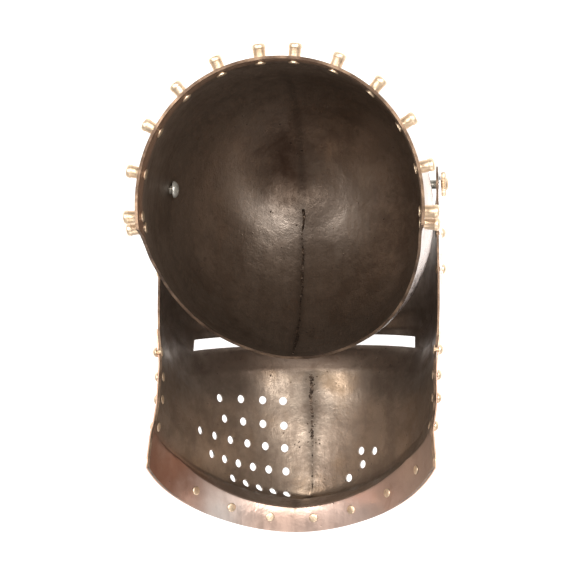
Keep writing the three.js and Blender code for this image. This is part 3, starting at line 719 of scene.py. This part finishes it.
# Dark, reddish patch inside the crown: partly a reddish stain, partly painted shade for the dark
# reflection between the two highlights. Columns: across, along, half width, half length
STAIN_AND_SHADE_PATCH = (19, 23, 23, 43)
# Painted highlight: a lighter, rubbed-looking crescent beside the patch. Columns: across, along,
# radius, direction of its brightest place
HIGHLIGHT_CRESCENT = (20, 15, 41, math.radians(-52))
HIGHLIGHT_CRESCENT_WIDTH = 12
# Painted highlights as soft spots. Columns: across, along, half width, half length, share
PAINTED_HIGHLIGHT_SPOTS = [(-21, -30, 17, 17, 0.42), (-42, -4, 26, 36, 0.32), (26, -40, 22, 16, 0.25)]


def face_outline():
    outline = [(FACE_START, -FAR)]
    for i in range(FACE_STEPS + 1):
        turn = math.pi / 2 * i / FACE_STEPS
        back = signed_power(math.cos(turn), FACE_STRAIGHTNESS)
        rise = math.sin(turn) ** FACE_STRAIGHTNESS
        outline.append((BROW_REACH - (BROW_REACH - FACE_START) * back, BROW_HEIGHT * rise))
    return [*outline, (FAR, BROW_HEIGHT), (FAR, -FAR)]


def crown_inset(length):
    low, high = CROWN_INSET_FADE
    return CROWN_INSET * smoothstep(length, CROWN_AT - low, CROWN_AT - high)


def blob(x, y, across, along, width, length):
    """Soft patch: 1 in its middle, fading over its half widths."""
    return np.exp(-(((x - across) / width) ** 2) - ((y - along) / length) ** 2)


def skull_grid(inset):
    """Points of one side of the skull, set in from the outside, in rows up to the crown."""
    along = np.concatenate([np.linspace(0, CROWN_AT, SKULL_ROWS)[:-1], [CROWN_AT - CROWN_RING]])
    turns = np.arange(SKULL_TURNS) * 2 * math.pi / SKULL_TURNS
    turn, length = np.meshgrid(turns, along)
    points = skull_point(turn, length)
    waves = hammered(points, HAMMER_SIZE, HAMMER_DEPTH) * smoothstep(length, 0, HAMMER_FADE)
    waves = waves - HAMMER_DEPTH / 2 - crown_inset(length)
    return points + skull_normal(turn, length) * (waves - inset)[..., None]


def skull_tones(skull, inner):
    """Where the hollow is coppery at the rim, darker along the weld and towards the back and the neck
    edge, stained, and given painted shade and painted highlights in the crown.
    """
    x, y, z = inner.T
    left_and_back = 0.25 + 0.75 * smoothstep(x + y * 0.6, -60, 40)
    painted(skull, "rim", inner, (1 - smoothstep(z, *RIM_FADE)) * left_and_back)
    # A dark line along the weld, and darker towards the back and the neck edge
    soot_and_darkening = (1 - smoothstep(np.abs(x - WELD_SHIFT), 1, 5)) * smoothstep(z, *WELD_FADE)
    deep = smoothstep(y, 0, 80) * (1 - smoothstep(z, *DEEP_FADE))
    painted(skull, "soot_and_darkening", inner, np.clip(soot_and_darkening * 0.5 + deep * 0.5, 0, 1))
    crown = smoothstep(z, *CROWN_FADE)
    # Partly a reddish stain, partly painted shade: the dark reflection in the crown between the
    # highlights
    painted(skull, "stain_and_painted_shade", inner, blob(x, y, *STAIN_AND_SHADE_PATCH) * crown)
    # Painted highlights: a crescent and a few soft spots of lighter tone in the crown
    middle_x, middle_y, radius, brightest = HIGHLIGHT_CRESCENT
    across, along = x - middle_x, y - middle_y
    ring = np.exp(-(((np.hypot(across, along) - radius) / HIGHLIGHT_CRESCENT_WIDTH) ** 2))
    turn = np.arctan2(along, across) - brightest
    share = 0.18 + 0.82 * np.exp(-((turn / 0.75) ** 2))
    painted_highlight = 0.85 * ring * share * (np.abs(turn) < 2.6) * (x > 5)
    for *place, share in PAINTED_HIGHLIGHT_SPOTS:
        painted_highlight += share * blob(x, y, *place)
    painted(skull, "painted_highlight", inner, np.clip(painted_highlight, 0, 1) * crown)


def make_skull():
    outer, inner = skull_grid(0), skull_grid(SKULL_WALL)
    faces, finish = wall_faces(*outer.shape[:2], closed=True, pole=True)
    points = np.concatenate([outer.reshape(-1, 3), inner.reshape(-1, 3)])
    skull = outward(new_piece("skull_shell", points, faces, finish, SKULL_SKINS))
    cut(skull, [prism(face_outline(), -FAR, FAR)])
    cut(skull, [rod(HINGE, (1, 0, 0), PIN_RADIUS + FIT_GAP, FAR, ROUND_SIDES)])
    shaded(skull)
    skull_tones(skull, inner.reshape(-1, 3))
    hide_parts("skull")
    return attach(skull, "skull_body")


# Visor
def rear_ahead(depth):
    return curve(VISOR_REAR, 1, depth)


def rear_line(top, steps, inset=0.0):
    """Rear edge of the closed visor from a depth below the pivots down."""
    depths = np.linspace(top, VISOR_REAR[-1][0], steps)
    return [(float(rear_ahead(d)) + inset, -float(d)) for d in depths]


def visor_outline():
    outline = []
    for i in range(ARM_END_STEPS + 1):
        turn = math.pi / 2 + ARM_END_TURN * i / ARM_END_STEPS
        outline.append((ARM_END_RADIUS * math.cos(turn), ARM_END_RADIUS * math.sin(turn)))
    outline += rear_line(VISOR_REAR[0][0], 40)
    ahead, above = outline[-1]
    outline += [
        (ahead + REAR_CORNER * 0.4, above - REAR_CORNER * 0.7),
        (ahead + REAR_CORNER * 1.5, above - REAR_CORNER * 1.4),
        (ahead + REAR_CORNER * 1.5, -FAR),
        (FAR, -FAR),
        (FAR, VISOR_TOP - TOP_DIP * 3),
        (TOP_DIP_REACH + TOP_DIP * 3, VISOR_TOP - TOP_DIP * 3),
        (TOP_DIP_REACH, VISOR_TOP),
        (ARM_END_RADIUS * 2.4, VISOR_TOP),
    ]
    return outline


def sheet_levels(start, rows):
    levels = np.linspace(start, VISOR_LINES[-1][LEVEL], rows)
    for crease in CREASES:
        levels[np.abs(levels - crease).argmin()] = crease
    return levels


def visor_grid(start, rows, offset):
    sides = np.linspace(-SIDE_END, SIDE_END, VISOR_STATIONS + 1)
    side, level = np.meshgrid(sides, sheet_levels(start, rows))
    points = visor_point(side, level)
    waves = hammered(points, HAMMER_SIZE, HAMMER_DEPTH * VISOR_HAMMER_SHARE) - VISOR_INSET
    return points + visor_normal(side, level) * (waves + offset)[..., None], side, level


def visor_sheet(name, start, rows, inner_offset, outer_offset, skins):
    outer, _, _ = visor_grid(start, rows, outer_offset)
    inner, side, level = visor_grid(start, rows, inner_offset)
    faces, finish = wall_faces(*outer.shape[:2], closed=False, pole=False)
    points = raised(np.concatenate([outer.reshape(-1, 3), inner.reshape(-1, 3)]))
    return outward(new_piece(name, points, faces, finish, skins)), inner, side, level


def seat(side, level):
    """Point and normal of the raised visor's outside, in the helmet's frame."""
    side, level = np.array([float(side)]), np.array([float(level)])
    return raised(visor_point(side, level))[0], (visor_normal(side, level) @ RAISE.T)[0]


def breath_seats():
    seats = []
    for count, inner, outer, inner_level, outer_level, spread in BREATH_ROWS:
        for i in range(count):
            share = (i / (count - 1)) ** spread
            seats.append(
                seat(inner + (outer - inner) * share, inner_level + (outer_level - inner_level) * share)
            )
    return seats + [seat(-side, level) for side, level in CROSS_BREATHS]


def slits():
    cuts = []
    for low, high in ((SLIT_BRIDGE / 2, SLIT_LEFT), (-SLIT_RIGHT, -SLIT_BRIDGE / 2)):
        near, far = SLIT_AHEAD - SLIT_HEIGHT / 2, SLIT_AHEAD + SLIT_HEIGHT / 2
        outline = [(near, 0), (far, 0), (far, PIVOT_HEIGHT), (near, PIVOT_HEIGHT)]
        points, faces = prism(outline, low, high)
        cuts.append((points + HINGE, faces))
    return cuts


def visor_tones(visor, inner, side, level):
    """Where the inside is greyer with painted light in the snout, pink with painted sheen and a painted
    highlight on the flange, reddish, scaly and sooty.
    """
    away = np.abs(side)
    flange = smoothstep(level, CREASES[1] - 0.008, CREASES[1] + 0.007)
    below = smoothstep(level, CREASES[0] - 0.005, CREASES[0] + 0.01) * (1 - flange)
    # Greyer, lighter snout: partly its own tone, partly painted light, fullest in the middle and half
    # as strong towards the wearer's right
    snout = below * (0.35 + 0.65 * (1 - smoothstep(away, 0.2, 0.75)))
    snout = snout * (1 - 0.5 * smoothstep(-side, 0.0, 0.35))
    painted(visor, "snout", inner, np.clip(snout + 0.12 * (1 - flange), 0, 1))
    # Pink flange: partly its own tone, partly painted sheen, fuller at the front and weaker towards the
    # wearer's right
    front = 1 - smoothstep(away, 0.3, 0.95)
    flange_tone_and_sheen = np.minimum(1, 0.45 + 0.55 * front) * (1 - 0.3 * smoothstep(-side, 0.2, 0.6))
    painted(visor, "flange_tone_and_sheen", inner, flange * flange_tone_and_sheen)
    # Painted highlight on the flange, around one place across it
    painted(visor, "flange_painted_highlight", inner, flange * np.exp(-(((side - 0.4) / 0.13) ** 2)))
    left = smoothstep(side, 0.15, 0.7)
    red = smoothstep(level, 0.8, 0.95) * (0.15 + 0.85 * left) * 0.9
    painted(visor, "red", inner, np.clip(red, 0, 1))
    painted(visor, "scale", inner, (1 - smoothstep(away, 0.02, 0.12)) * below)
    painted(visor, "soot_and_darkening", inner, (1 - smoothstep(away, 0.0, 0.035)) * below * 0.8)


def make_visor():
    visor, inner, side, level = visor_sheet(
        "visor_shell", VISOR_LINES[0][LEVEL], VISOR_ROWS, -VISOR_WALL, 0, VISOR_SKINS
    )
    outline, sides = prism(visor_outline(), -FAR, FAR)
    cut(visor, [(raised(outline), sides)], "INTERSECT")
    cut(visor, slits(), finish=INSIDE)
    breaths = [rod(p, n, BREATH_RADIUS, 6, ROUND_SIDES) for p, n in breath_seats()]
    cut(visor, breaths, finish=INSIDE)
    cut(visor, [rod(HINGE, (1, 0, 0), PIN_RADIUS + FIT_GAP, FAR, ROUND_SIDES)])
    shaded(visor)
    visor_tones(visor, raised(inner.reshape(-1, 3)), side.ravel(), level.ravel())
    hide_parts("visor")
    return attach(visor, "visor_body")


def make_trim():
    low, high = FIT_GAP, FIT_GAP + TRIM_THICKNESS
    trim, *_ = visor_sheet("trim_strip", TRIM_START, VISOR_ROWS // 2, low, high, [COPPER] * 3)
    rear = rear_line(TRIM_TOP, 30, TRIM_INSET)
    ahead, above = rear[-1]
    crease = -CREASES[1] * VISOR_HEIGHT - 2
    knee = float(rear_ahead(VISOR_REAR[2][0])) + TRIM_INSET + TRIM_SIDE_WIDTH
    outline = rear + [
        (ahead + REAR_CORNER * 0.4, above - REAR_CORNER * 0.55),
        (ahead + REAR_CORNER * 1.5, above - REAR_CORNER * 1.1),
        (ahead + REAR_CORNER * 1.5, -FAR),
        (FAR, -FAR),
        (FAR, crease),
        (ahead + TRIM_SIDE_WIDTH + 4, crease),
        (knee, -VISOR_REAR[2][0]),
        (rear[0][0] + TRIM_SIDE_WIDTH, -TRIM_TOP),
    ]
    points, sides = prism(outline, -FAR, FAR)
    cut(trim, [(raised(points), sides)], "INTERSECT")
    shaded(trim)
    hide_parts("visor_trim")
    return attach(trim, "visor_body")


# Turned pieces
def arc(radius, height, start, steps=7):
    """Profile points of a domed end: from the full radius to the axis."""
    turns = [math.pi / 2 * i / steps for i in range(steps + 1)]
    return [(radius * math.cos(t), start + height * math.sin(t)) for t in turns]


def turned(name, profile, point, normal, sides=ROUND_SIDES, teeth=0, tooth=0.0):
    """Turned piece; its profile is radius and distance out from the point, along the normal."""
    axis = unit(np.asarray(normal, float))
    helper = np.array([0, 0, 1.0]) if abs(axis[2]) < 0.9 else np.array([1.0, 0, 0])
    u = unit(np.cross(axis, helper))
    v = np.cross(axis, u)
    points, faces = [], []
    for radius, out in profile:
        for i in range(sides):
            t = 2 * math.pi * i / sides
            r = radius
            if teeth and radius > ROSETTE_RADIUS * 0.8:
                r = radius - tooth * (0.5 - 0.5 * math.cos(teeth * t))
            points.append(point + axis * out + (u * math.cos(t) + v * math.sin(t)) * r)
    last = (len(profile) - 1) * sides
    for k in range(len(profile) - 1):
        for i in range(sides):
            a, b = k * sides + i, k * sides + (i + 1) % sides
            faces.append((a, b, b + sides, a + sides))
    faces.append(tuple(reversed(range(sides))))
    faces.append(tuple(range(last, last + sides)))
    return shaded(outward(new_piece(name, np.array(points), faces)), 50)


def rivet_profile(outside, inside):
    """Domed brass head outside, a flat, slightly spread end inside."""
    head = outside + FIT_GAP
    tail = -inside - FIT_GAP
    return [
        (0.05, tail - 0.8),
        (2.6, tail - 0.8),
        (3.3, tail - 0.55),
        (3.5, tail - 0.25),
        (3.4, tail),
        (1.7, tail),
        (1.7, head),
        (4.0, head),
        *arc(4.0, 2.9, head + 0.1)[:-1],
        (0.05, head + 3.0),
    ]


# Columns: radius, distance out of the skull
VERVELLE_PROFILE = [
    (0.05, -3.55),
    (3.4, -3.55),
    (3.9, -3.2),
    (3.9, -2.7),
    (3.0, -2.65),
    (3.0, 0.35),
    (4.2, 0.35),
    (4.3, 0.7),
    (4.3, 6.6),
    (4.5, 7.0),
    (4.7, 7.4),
    (4.75, 8.0),
    (4.7, 9.2),
    (4.45, 10.0),
    (3.8, 10.55),
    (2.4, 10.9),
    (0.05, 11.0),
]


def dress(piece, node, material, body):
    piece.data.materials.append(material)
    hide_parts(node)
    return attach(piece, body)


def skull_seat(turn, height):
    """Point and normal of the skull's outside at a height above the neck edge."""
    lengths = np.linspace(0, SKULL_LENGTHS[3][0], 400)
    heights = curve(SKULL_LENGTHS, 1 + HEIGHT, lengths) * SKULL_HEIGHT
    along = np.array([float(np.interp(height, heights, lengths))])
    turn = np.array([turn])
    return skull_point(turn, along)[0], skull_normal(turn, along)[0]


def make_vervelles():
    number = 0
    for side in (1, -1):
        for angle, rise in VERVELLES:
            number += 1
            point, normal = skull_seat(math.pi - side * math.radians(angle), VERVELLE_HEIGHT + rise)
            name = f"vervelle_{number:02d}"
            peg = turned(name + "_turned", VERVELLE_PROFILE, point, normal)
            dress(peg, name, BRASS, "skull_body")


def station_ahead(ahead, level):
    sides = np.linspace(0, SIDE_END, 800)
    reach = -visor_point(sides, np.full_like(sides, level))[:, 1]
    return float(np.interp(-ahead, -reach, sides))


def make_rivets():
    seats = [seat(side, TRIM_FRONT_LEVEL) for side in TRIM_FRONT_RIVETS]
    for side in (1, -1):
        for level in TRIM_SIDE_LEVELS:
            ahead = float(rear_ahead(level * VISOR_HEIGHT)) + TRIM_SIDE_WIDTH / 2
            seats.append(seat(side * station_ahead(ahead, level), level))
    profile = rivet_profile(FIT_GAP + TRIM_THICKNESS, VISOR_WALL)
    for i, (point, normal) in enumerate(seats):
        name = f"trim_rivet_{i + 1:02d}"
        dress(turned(name + "_turned", profile, point, normal), name, BRASS, "visor_body")
    profile = rivet_profile(FIT_GAP + STRAP_THICKNESS, VISOR_WALL + 0.3)
    number = 0
    for side in (1, -1):
        for along in STRAP_RIVETS:
            number += 1
            ahead, below = along * math.cos(RAISED_ANGLE), along * math.sin(RAISED_ANGLE)
            point = np.array([side * VISOR_HALF_WIDTH, -ahead, -below])
            name = f"arm_rivet_{number}"
            piece = turned(name + "_turned", profile, raised(point), (side, 0, 0))
            dress(piece, name, BRASS, "visor_body")


def make_pivots():
    stack = VISOR_HALF_WIDTH + FIT_GAP + STRAP_THICKNESS
    for name, side in (("left", 1), ("right", -1)):
        low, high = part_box("pivot_pin_" + name)
        inner = min(abs(low.x), abs(high.x)) / MM
        wall = inner + PIN_HEAD_THICKNESS
        head = [(r, wall - h) for r, h in arc(PIN_HEAD_RADIUS, PIN_HEAD_THICKNESS, 0.0)]
        head[-1] = (0.05, head[-1][1])
        profile = [*reversed(head), (PIN_HEAD_RADIUS * 0.98, wall + 0.2), (PIN_RADIUS, wall + 0.2)]
        profile += [(PIN_RADIUS, stack + FIT_GAP + 1.6), (0.05, stack + FIT_GAP + 1.6)]
        pin = turned(f"pivot_pin_{name}_turned", profile, HINGE, (side, 0, 0))
        dress(pin, "pivot_pin_" + name, PIN_STEEL, "skull_body")
        face = stack + FIT_GAP
        r, t = ROSETTE_RADIUS, ROSETTE_THICKNESS
        profile = [
            (PIN_RADIUS + FIT_GAP, face),
            (r - 0.5, face),
            (r, face + 0.5),
            (r, face + t - 0.9),
            (r - 0.8, face + t - 0.1),
            (6.2, face + t),
            (5.6, face + t - 0.5),
            (4.9, face + t),
            (4.6, face + t + 0.8),
            (3.0, face + t + 2),
            (0.05, face + t + 2),
        ]
        toothed = (ROSETTE_SIDES, ROSETTE_TEETH, TOOTH_DEPTH)
        disc = turned(f"rosette_{name}_cut", profile, HINGE, (side, 0, 0), *toothed)
        dress(disc, "rosette_" + name, BRASS, "skull_body")


# Welded seams inside
SEAM_LANES = 9
SEAM_ROOT = 0.6
SKULL_WELD_ROWS = 330
VISOR_WELD_ROWS = 260
VISOR_WELD_LEVELS = (0.375, 0.86)


def seam(name, path, normals, across, width, height, body, roughness=1.0):
    """Low, uneven bead along a path on the inside of a sheet."""
    rows, lanes = len(path), SEAM_LANES
    points, faces = [], []
    for i in range(rows):
        p, n, a = path[i], normals[i], across[i]
        beads = 0.5 + 0.5 * noise.noise(Vector((i * 0.21, 3.1, 0.4)))
        lumps = 0.5 + 0.5 * noise.noise(Vector((i * 0.9, 7.7, 1.9)))
        drift = noise.noise(Vector((i * 0.035, 0.3, 9.2))) * 1.3
        wide = width * (0.65 + 0.7 * beads)
        for k in range(lanes):
            u = -1 + 2 * k / (lanes - 1)
            rough = noise.noise(Vector((i * 0.45, u * 2.3, 5.5))) * roughness
            tall = height * (1 - u * u) * (0.25 + beads + 0.6 * lumps + 0.5 * rough) - 0.25
            points.append(p + a * (drift + u * wide / 2) + n * tall)
    for i in range(rows - 1):
        for k in range(lanes - 1):
            a = i * lanes + k
            faces.append((a, a + 1, a + lanes + 1, a + lanes))
    base = len(points)
    points += [p - n * SEAM_ROOT for p, n in zip(path, normals)]
    for i in range(rows - 1):
        faces.append((base + i, i * lanes, (i + 1) * lanes, base + i + 1))
        faces.append((base + i, base + i + 1, (i + 2) * lanes - 1, (i + 1) * lanes - 1))
    faces.append((base, *reversed(range(lanes))))
    faces.append((base + rows - 1, *range((rows - 1) * lanes, rows * lanes)))
    piece = shaded(outward(new_piece(name, np.array(points), faces)), 60)
    piece.data.materials.append(WELD)
    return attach(piece, body)


def make_seams():
    lengths = np.linspace(CROWN_AT - 16, SKULL_LENGTHS[4][0] + 6, SKULL_WELD_ROWS)
    width = curve(SKULL_LENGTHS, 1 + WIDTH, lengths) * SKULL_HALF_WIDTH
    turn = np.arcsin(np.minimum(0.9, WELD_SHIFT / width) ** (SKULL_FULLNESS / 2))
    normal = skull_normal(turn, lengths)
    sunk = SKULL_WALL + HAMMER_DEPTH / 2 + crown_inset(lengths)
    path = skull_point(turn, lengths) - normal * sunk[:, None]
    sideways = np.tile([1.0, 0, 0], (len(lengths), 1))
    seam("skull_weld", path, -normal, sideways, 3.0, 0.5, "skull_body")
    levels = np.linspace(*VISOR_WELD_LEVELS, VISOR_WELD_ROWS)
    side = np.full_like(levels, 1e-6)
    normal = visor_normal(side, levels)
    path = visor_point(side, levels) - normal * VISOR_WALL
    path, normal, across = raised(path), -normal @ RAISE.T, sideways[: len(levels)]
    seam("visor_weld", path, normal, across, 5.2, 0.46, "visor_body", 1.8)


# Stage
FLOOR_REACH = 6.0
FLOOR_GLOW = 0.55
SKY_COLOUR = (1.0, 0.985, 0.97, 1)
SKY_STRENGTH = 0.34


def make_stage():
    mesh = bpy.data.meshes.new("floor")
    signs = [(-1, -1), (1, -1), (1, 1), (-1, 1)]
    corners = [(x * FLOOR_REACH, y * FLOOR_REACH, 0) for x, y in signs]
    mesh.from_pydata(corners, [], [(0, 1, 2, 3)])
    floor = bpy.data.objects.new("floor", mesh)
    bpy.context.scene.collection.objects.link(floor)
    p = Paint("floor_paper", roughness=0.9)
    p.shader.inputs["Specular IOR Level"].default_value = 0.1
    p.shader.inputs["Emission Color"].default_value = (1, 1, 1, 1)
    p.shader.inputs["Emission Strength"].default_value = FLOOR_GLOW
    colour = p.mix(p.cloud(3.0, 2.0, 0.5), (0.80, 0.80, 0.80), (0.84, 0.84, 0.84))
    p.put(p.shader.inputs["Base Color"], colour)
    mesh.materials.append(p.material)
    world = bpy.data.worlds.new("studio")
    bpy.context.scene.world = world
    world.use_nodes = True
    sky = world.node_tree.nodes["Background"].inputs
    sky["Color"].default_value = SKY_COLOUR
    sky["Strength"].default_value = SKY_STRENGTH


# Columns: name, place, aim, width and height, watts, colour
SOFTBOXES = [
    ("right_box", (-0.57, -0.65, 1.4), (0, -0.05, 0.05), (0.35, 0.8), 20, (1.0, 0.97, 0.93)),
    ("left_box", (0.68, -0.55, 1.4), (0, -0.05, 0.05), (0.35, 0.8), 15, (1.0, 0.97, 0.94)),
    ("front_box", (-0.3, 1.2, 1.3), (0, 0.1, 0.1), (1.2, 0.5), 11, (1.0, 0.98, 0.96)),
]


def make_lights():
    for name, place, aim, size, watts, colour in SOFTBOXES:
        data = bpy.data.lights.new(name, "AREA")
        data.shape = "RECTANGLE"
        data.size, data.size_y = size
        data.energy = watts
        data.color = colour
        light = bpy.data.objects.new(name, data)
        bpy.context.scene.collection.objects.link(light)
        light.location = place
        light.rotation_euler = (Vector(aim) - Vector(place)).to_track_quat("-Z", "Y").to_euler()


# Camera: distance, aim and turns found from the photograph, in the helmet's frame
CAMERA_YAW = math.radians(5.8)
CAMERA_PITCH = math.radians(2.5)
CAMERA_ROLL = math.radians(-0.8)
CAMERA_DISTANCE = 1130
CAMERA_AIM = (4.844, -70)
FOCAL_PIXELS = 1632.9
PICTURE_PIXELS = 570
SENSOR = 36


def make_camera():
    ahead = np.array(
        [
            math.sin(CAMERA_YAW),
            -math.sin(CAMERA_PITCH) * math.cos(CAMERA_YAW),
            math.cos(CAMERA_PITCH) * math.cos(CAMERA_YAW),
        ]
    )
    right = unit(np.cross(ahead, [0, math.cos(CAMERA_PITCH), math.sin(CAMERA_PITCH)]))
    up = np.cross(right, ahead)
    c, s = math.cos(CAMERA_ROLL), math.sin(CAMERA_ROLL)
    right, up = c * right + s * up, c * up - s * right
    place = CAMERA_AIM[0] * right + CAMERA_AIM[1] * up - CAMERA_DISTANCE * ahead
    data = bpy.data.cameras.new("camera")
    data.sensor_width = SENSOR
    data.lens = FOCAL_PIXELS / PICTURE_PIXELS * SENSOR
    camera = bpy.data.objects.new("camera", data)
    bpy.context.scene.collection.objects.link(camera)
    axes = [REST @ right, REST @ up, -(REST @ ahead)]
    matrix = Matrix([[*(float(a[i]) for a in axes)] for i in range(3)]).to_4x4()
    matrix.translation = Vector(placed(place))
    camera.matrix_world = matrix
    bpy.context.scene.camera = camera


make_skull()
make_visor()
make_trim()
make_vervelles()
make_rivets()
make_pivots()
make_seams()
# The straps take the darker copy of the outside steel: painted shade
for name in ("arm_strap_left", "arm_strap_right"):
    node = frame["nodes"][name]
    node.data.materials.clear()
    node.data.materials.append(STRAP_STEEL)
make_stage()
make_lights()
make_camera()
bpy.context.scene.view_settings.view_transform = "Standard"
